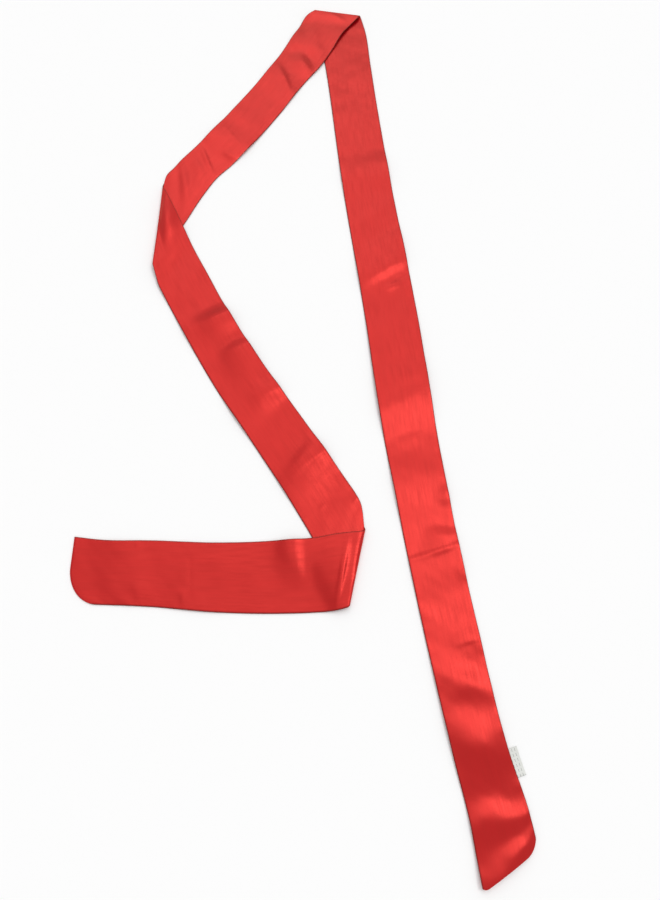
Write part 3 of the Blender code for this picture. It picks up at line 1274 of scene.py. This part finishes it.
def new_group(
    name: str, inputs: tuple[str, ...], outputs: tuple[str, ...]
) -> tuple[NodeSheet, dict[str, bpy.types.NodeSocket], dict[str, bpy.types.NodeSocket]]:
    """Start a shader node group whose sockets are all numbers.

    Args:
        name: The group's name.
        inputs: Names of its inputs.
        outputs: Names of its outputs.

    Returns:
        The sheet to add nodes to, the inputs' sockets and the outputs' sockets, by name.
    """
    tree = bpy.data.node_groups.new(name, "ShaderNodeTree")
    for title in inputs:
        tree.interface.new_socket(name=title, in_out="INPUT", socket_type="NodeSocketFloat")
    for title in outputs:
        tree.interface.new_socket(name=title, in_out="OUTPUT", socket_type="NodeSocketFloat")
    given = tree.nodes.new("NodeGroupInput").outputs
    wanted = tree.nodes.new("NodeGroupOutput").inputs
    return NodeSheet(tree), {t: given[t] for t in inputs}, {t: wanted[t] for t in outputs}


def thread_weave() -> bpy.types.NodeTree:
    """Build the weave's group: round threads side by side, each dipping under at regular places.

    The height is the thread's round section, and each thread's dips are shifted by two fifths of
    their distance from its neighbour's.

    Returns:
        The group.
    """
    inputs = ("Along", "Across", "Pitch", "Float")
    sheet, given, wanted = new_group("thread_weave", inputs, ("Height", "Dip"))
    place = sheet.math("DIVIDE", given["Across"], given["Pitch"])
    thread = sheet.math("FLOOR", place)
    inside = sheet.math("SUBTRACT", place, thread)
    centred = sheet.math("MULTIPLY_ADD", inside, 2.0, -1.0)
    squared = sheet.math("MULTIPLY", centred, centred)
    section = sheet.math("SQRT", sheet.math("SUBTRACT", THREAD_ROUNDNESS, squared))
    shift = sheet.math("MULTIPLY", thread, DIP_SHIFT)
    floats = sheet.math("ADD", sheet.math("DIVIDE", given["Along"], given["Float"]), shift)
    gap = sheet.math("ABSOLUTE", sheet.math("SUBTRACT", sheet.math("FRACT", floats), 0.5))
    dip = sheet.spread(gap, DIP_FROM, 0.5, 0.0, 1.0)
    sheet.feed(wanted["Height"], sheet.math("SUBTRACT", section, sheet.math("MULTIPLY", dip, DIP_DEPTH)))
    sheet.feed(wanted["Dip"], dip)
    return sheet.tree


def yarn_streaks() -> bpy.types.NodeTree:
    """Build the streaks' group: noise drawn out along the threads, in two widths.

    Returns:
        The group.
    """
    inputs = ("Along", "Across", "Width", "Length")
    sheet, given, wanted = new_group("yarn_streaks", inputs, ("Streak", "Drift"))
    tones = []
    for size, detail in STREAK_SCALES:
        across = sheet.math("DIVIDE", given["Across"], sheet.math("MULTIPLY", given["Width"], size))
        along = sheet.math("DIVIDE", given["Along"], sheet.math("MULTIPLY", given["Length"], size))
        place = sheet.add("ShaderNodeCombineXYZ", X=across, Y=along).outputs[0]
        noise = sheet.add("ShaderNodeTexNoise", Vector=place, Scale=1.0, Detail=detail)
        tones.append(noise.outputs["Fac"])
    sheet.feed(wanted["Streak"], tones[0])
    sheet.feed(wanted["Drift"], tones[1])
    return sheet.tree


def painted_edge_shade() -> bpy.types.NodeTree:
    """Build the group of painted edge shade: a mask that is 1 on both edges of a strip and fades inwards,
    for the darker line where the rounded edge turns from the light.

    Returns:
        The group.
    """
    sheet, given, wanted = new_group("painted_edge_shade", ("Across", "Width", "Fade"), ("Mask",))
    place = sheet.math("ABSOLUTE", given["Across"])
    nearest = sheet.math("MINIMUM", place, sheet.math("SUBTRACT", given["Width"], place))
    share = sheet.math("DIVIDE", nearest, given["Fade"])
    sheet.feed(wanted["Mask"], sheet.spread(share, 0.0, 1.0, 1.0, 0.0))
    return sheet.tree


@dataclass(frozen=True)
class EffectGroups:
    """The node groups that the finishes share."""

    weave: bpy.types.NodeTree
    streaks: bpy.types.NodeTree
    # edge: the group that paints shade along both pressed edges
    edge: bpy.types.NodeTree


def new_material(name: str) -> tuple[bpy.types.Material, NodeSheet, bpy.types.Node]:
    """Start a material.

    Args:
        name: The material's name.

    Returns:
        The material, the sheet of its nodes and its shader.
    """
    material = bpy.data.materials.new(name)
    material.use_nodes = True
    return material, NodeSheet(material.node_tree), material.node_tree.nodes["Principled BSDF"]


def mix_color(sheet: NodeSheet, factor: object, first: object, second: object) -> bpy.types.NodeSocket:
    """Mix two colours.

    Args:
        sheet: The nodes' sheet.
        factor: Share of the second, from 0 to 1.
        first: A colour or an output.
        second: A colour or an output.

    Returns:
        The mixed colour.
    """
    node = sheet.tree.nodes.new("ShaderNodeMix")
    node.data_type = "RGBA"
    sheet.feed(node.inputs[0], factor)
    sheet.feed(node.inputs[6], first)
    sheet.feed(node.inputs[7], second)
    return node.outputs[2]


@dataclass(frozen=True)
class SatinFinish:
    """Red satin: a coloured sheen, long across the threads and short along them.

    Attributes:
        color: Colour of the cloth.
        deep: Colour in its streaks, which is the yarn's own uneven tone, and painted shade in the dips of
            the weave.
        edge: Painted shade on the pressed edges, where the rounded cloth turns away from the light.
        metallic: Share of the light that the threads throw back in their own colour.
        roughness: Roughness of the sheen.
        anisotropic: How much longer the sheen is across the threads.
        thread_pitch: Between threads.
        thread_float: Length of a thread between its dips.
        dip_shade_share: How far a dip of the weave takes the colour to the deep one, as painted shade.
        streak_width: Width of a streak along the threads.
        streak_length: Its length.
        streak_range: Range of the narrow streaks' noise that shows.
        streak_share: How far they take the colour to the deep one.
        drift_range: Range of the broad streaks' noise that shows.
        drift_share: How far they take the colour to the deep one.
        mottle_range: Range of the narrow streaks' noise that changes the roughness.
        mottle: Change of the roughness at the start and the end of that range.
        edge_shade_fade: How far in from an edge its line of painted shade fades out.
        edge_shade_share: Strength of that painted shade.
        gloss: Strength of the clear part of the sheen.
        gloss_tint: Colour of that part.
        relief: Depth of the bump.
        weave_height: Height of the weave as a share of it.
        streak_height: Height of the streaks as a share of it.
    """

    color: Color = (0.570, 0.004, 0.012, 1.0)
    deep: Color = (0.440, 0.002, 0.008, 1.0)
    # painted shade for the pressed edges, where the rounded cloth turns from the light
    edge: Color = (0.160, 0.003, 0.008, 1.0)
    metallic: float = 0.50
    roughness: float = 0.34
    anisotropic: float = 0.85
    thread_pitch: float = 0.00032
    thread_float: float = 0.0019
    dip_shade_share: float = 0.25
    streak_width: float = 0.0016
    streak_length: float = 0.036
    streak_range: tuple[float, float] = (0.40, 0.66)
    streak_share: float = 0.12
    drift_range: tuple[float, float] = (0.38, 0.62)
    drift_share: float = 0.10
    mottle_range: tuple[float, float] = (0.35, 0.70)
    mottle: tuple[float, float] = (-0.04, 0.06)
    edge_shade_fade: float = 0.0022
    edge_shade_share: float = 0.85
    gloss: float = 1.0
    gloss_tint: Color = (1.0, 0.70, 0.45, 1.0)
    relief: float = 0.00005
    weave_height: float = 0.12
    streak_height: float = 0.35

    def material(self, groups: EffectGroups) -> bpy.types.Material:
        """Make the material.

        Args:
            groups: The shared effects.

        Returns:
            The material.
        """
        material, sheet, shader = new_material("satin")
        across, along = sheet.map_place()
        thread = {"Pitch": self.thread_pitch, "Float": self.thread_float}
        yarn = {"Width": self.streak_width, "Length": self.streak_length}
        weave = sheet.group(groups.weave, Along=along, Across=across, **thread)
        streaks = sheet.group(groups.streaks, Along=along, Across=across, **yarn)
        # painted shade: a darker line along both pressed edges
        edge = sheet.group(groups.edge, Across=across, Width=PRESSED_WIDTH, Fade=self.edge_shade_fade)
        streak = sheet.spread(streaks.outputs["Streak"], *self.streak_range, 0.0, self.streak_share)
        drift = sheet.spread(streaks.outputs["Drift"], *self.drift_range, 0.0, self.drift_share)
        # painted shade in the dips of the weave, added to the streaks' own tone
        weave_shade = sheet.math("MULTIPLY", weave.outputs["Dip"], self.dip_shade_share)
        shade = sheet.math("ADD", sheet.math("ADD", streak, drift), weave_shade)
        toned = mix_color(sheet, shade, self.color, self.deep)
        # the edge mask mixes in the edge colour as painted shade
        line = sheet.math("MULTIPLY", edge.outputs["Mask"], self.edge_shade_share)
        sheet.feed(shader.inputs["Base Color"], mix_color(sheet, line, toned, self.edge))
        ends = [self.roughness + change for change in self.mottle]
        rough = sheet.spread(streaks.outputs["Streak"], *self.mottle_range, *ends)
        sheet.feed(shader.inputs["Roughness"], rough)
        shader.inputs["Metallic"].default_value = self.metallic
        shader.inputs["Anisotropic"].default_value = self.anisotropic
        shader.inputs["Specular IOR Level"].default_value = self.gloss
        shader.inputs["Specular Tint"].default_value = self.gloss_tint
        tangent = sheet.add("ShaderNodeTangent")
        tangent.direction_type = "UV_MAP"
        tangent.uv_map = CLOTH_MAP
        sheet.feed(shader.inputs["Tangent"], tangent.outputs[0])
        height = sheet.math(
            "ADD",
            sheet.math("MULTIPLY", weave.outputs["Height"], self.weave_height),
            sheet.math("MULTIPLY", streaks.outputs["Streak"], self.streak_height),
        )
        bump = sheet.add("ShaderNodeBump", Strength=1.0, Distance=self.relief, Height=height)
        sheet.feed(shader.inputs["Normal"], bump.outputs[0])
        return material


@dataclass(frozen=True)
class TapeFinish:
    """Matt white woven tape with rows of plain grey dashes.

    Attributes:
        color: Colour of the tape.
        deep: Painted shade between its threads.
        mark: Colour of the dashes.
        thread_pitch: Between threads.
        thread_float: Length of a thread between its dips.
        dip_shade_share: How far a dip of the weave takes the colour to the painted shade between threads.
        roughness: Roughness low and high on its threads.
        dash: Length of a dash and the gap after it.
        row: Distance between rows.
        row_share: Share of that distance that a dash is wide.
        dash_share: Share of its own place that a dash fills.
        mark_share: Strength of the dashes.
        relief: Depth of the bump.
        bump: Strength of it.
    """

    color: Color = (0.780, 0.790, 0.750, 1.0)
    deep: Color = (0.600, 0.615, 0.590, 1.0)
    mark: Color = (0.230, 0.240, 0.240, 1.0)
    thread_pitch: float = 0.00045
    thread_float: float = 0.0009
    dip_shade_share: float = 0.6
    roughness: tuple[float, float] = (0.80, 0.62)
    dash: float = 0.0052
    row: float = 0.0034
    row_share: float = 0.16
    dash_share: float = 0.58
    mark_share: float = 0.75
    relief: float = 0.00006
    bump: float = 0.8

    def material(self, groups: EffectGroups) -> bpy.types.Material:
        """Make the material.

        Args:
            groups: The shared effects.

        Returns:
            The material.
        """
        material, sheet, shader = new_material("label_tape")
        round_loop, on_seam = sheet.map_place()
        thread = {"Pitch": self.thread_pitch, "Float": self.thread_float}
        weave = sheet.group(groups.weave, Along=round_loop, Across=on_seam, **thread)
        line = self.stripe(sheet, round_loop, self.row, self.row_share)
        dash = self.stripe(sheet, on_seam, self.dash, self.dash_share)
        marks = sheet.math("MULTIPLY", sheet.math("MULTIPLY", line, dash), self.mark_share)
        # painted shade between the threads, in the dips of the weave
        weave_shade = sheet.math("MULTIPLY", weave.outputs["Dip"], self.dip_shade_share)
        toned = mix_color(sheet, weave_shade, self.color, self.deep)
        sheet.feed(shader.inputs["Base Color"], mix_color(sheet, marks, toned, self.mark))
        height = weave.outputs["Height"]
        sheet.feed(shader.inputs["Roughness"], sheet.spread(height, 0.0, 1.0, *self.roughness))
        bump = sheet.add("ShaderNodeBump", Strength=self.bump, Distance=self.relief, Height=height)
        sheet.feed(shader.inputs["Normal"], bump.outputs[0])
        return material

    def stripe(
        self, sheet: NodeSheet, place: bpy.types.NodeSocket, pitch: float, share: float
    ) -> bpy.types.NodeSocket:
        """Make a mask of even stripes, each in the middle of its pitch.

        Args:
            sheet: The nodes' sheet.
            place: The coordinate across the stripes.
            pitch: Distance from one stripe to the next.
            share: Share of it that a stripe fills.

        Returns:
            The mask, 0 or 1.
        """
        phase = sheet.math("FRACT", sheet.math("DIVIDE", place, pitch))
        off = sheet.math("ABSOLUTE", sheet.math("SUBTRACT", phase, 0.5))
        return sheet.math("LESS_THAN", off, 0.5 * share)


@dataclass(frozen=True)
class SoftLight:
    """A broad light, so far away that it lights the floor evenly.

    Attributes:
        name: Its name.
        comes_from: Direction towards it.
        size: How wide it looks, in degrees.
        power: Its strength.
        away: How far off its lamp hangs, which doesn't change the light.
    """

    name: str
    comes_from: tuple[float, float, float]
    size: float
    power: float
    away: float = 2.0

    def hang(self) -> None:
        """Add the light to the scene."""
        lamp = bpy.data.lights.new(self.name, "SUN")
        lamp.angle = np.radians(self.size)
        lamp.energy = self.power
        light = bpy.data.objects.new(self.name, lamp)
        light.rotation_euler = Vector(self.comes_from).to_track_quat("Z", "Y").to_euler()
        light.location = Vector(self.comes_from).normalized() * self.away
        bpy.context.scene.collection.objects.link(light)


@dataclass
class Studio:
    """A plain pale floor, soft light from above, from the sides and all round, and the camera.

    Attributes:
        place: Where the camera stands.
        angles: How it is turned, in degrees.
        lens: Its focal length in millimetres on a 36 mm frame.
        nearest: How near to it things still show.
        lights: The lights.
        around: Brightness of the light all round.
        sky: Its colour.
        floor: Colour of the floor.
        floor_roughness: Its roughness.
        floor_gloss: Strength of its sheen.
        floor_half: Half of the floor's side.
        floor_depth: How far the floor lies under the cloth's lowest plane.
    """

    place: tuple[float, float, float] = (-0.00994, -0.49090, 0.81316)
    angles: tuple[float, float, float] = (21.69702, -3.72971, -1.48263)
    lens: float = 26.8
    nearest: float = 0.01
    lights: tuple[SoftLight, ...] = (
        SoftLight("room_light", (0.06, 0.47, 0.88), 50.0, 0.58),
        SoftLight("window_light", (0.53, 0.14, 0.83), 14.0, 0.42),
        SoftLight("far_light", (0.35, 0.30, 0.89), 13.0, 0.20),
        SoftLight("back_light", (-0.10, 0.80, 0.59), 34.0, 0.11),
    )
    around: float = 0.65
    sky: Color = (1.0, 1.0, 1.0, 1.0)
    floor: Color = (0.98, 0.98, 0.98, 1.0)
    floor_roughness: float = 0.9
    floor_gloss: float = 0.1
    floor_half: float = 4.0
    floor_depth: float = 0.0001

    def lay_floor(self) -> None:
        """Lay a large plain square just under the cloth."""
        corner = np.array([[-1.0, -1.0], [1.0, -1.0], [1.0, 1.0], [-1.0, 1.0]]) * self.floor_half
        points = np.concatenate([corner, np.full((4, 1), -self.floor_depth)], axis=1)
        face = np.array([[0, 1, 2, 3]])
        floor = make_mesh("studio_floor", points, face, corner[None])
        material, _, shader = new_material("floor_paper")
        shader.inputs["Base Color"].default_value = self.floor
        shader.inputs["Roughness"].default_value = self.floor_roughness
        shader.inputs["Specular IOR Level"].default_value = self.floor_gloss
        floor.data.materials.append(material)

    def light(self) -> None:
        """Hang the lights and set the light all round."""
        for light in self.lights:
            light.hang()
        world = bpy.data.worlds.new("soft_room")
        world.use_nodes = True
        background = world.node_tree.nodes["Background"]
        background.inputs["Color"].default_value = self.sky
        background.inputs["Strength"].default_value = self.around
        bpy.context.scene.world = world
        bpy.context.scene.view_settings.view_transform = "Standard"

    def set_camera(self) -> None:
        """Stand the camera over the sash, at the photograph's angle."""
        lens = bpy.data.cameras.new("camera")
        lens.lens = self.lens
        lens.clip_start = self.nearest
        camera = bpy.data.objects.new("camera", lens)
        camera.location = self.place
        camera.rotation_euler = Euler(np.radians(self.angles), "XYZ")
        bpy.context.scene.collection.objects.link(camera)
        bpy.context.scene.camera = camera


def dress(piece: bpy.types.Object, material: bpy.types.Material) -> None:
    """Give a piece its material and its body.

    Args:
        piece: The piece.
        material: Its material.
    """
    piece.data.materials.append(material)
    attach(piece, "root")


def main() -> None:
    """Build the sash, the label and the studio, and report each piece."""
    logging.basicConfig(level=logging.INFO, format="%(name)s %(message)s")
    tail = Stretch("tail_stretch", TAIL_SECTIONS, TAIL_SWELLS, TAIL_CREASES, Ply.FRONT, Edge.SEAM)
    lower = Stretch("lower_stretch", LOWER_SECTIONS, LOWER_SWELLS, LOWER_CREASES, Ply.BACK, Edge.SEAM)
    upper = Stretch("upper_stretch", UPPER_SECTIONS, UPPER_SWELLS, UPPER_CREASES, Ply.FRONT, Edge.FOLDED)
    long = Stretch("long_stretch", LONG_SECTIONS, LONG_SWELLS, LONG_CREASES, Ply.BACK)
    groups = EffectGroups(thread_weave(), yarn_streaks(), painted_edge_shade())

    label_loop = LabelLoop(long)
    label = label_loop.build()
    dress(label, TapeFinish().material(groups))
    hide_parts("label")
    label_loop.flat

    tube = SashTube((tail, lower, upper, long))
    sash = tube.build()
    dress(sash, SatinFinish().material(groups))
    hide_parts(*(stretch.name for stretch in tube.stretches))

    studio = Studio()
    studio.lay_floor()
    studio.light()
    studio.set_camera()


if __name__ == "__main__":
    main()
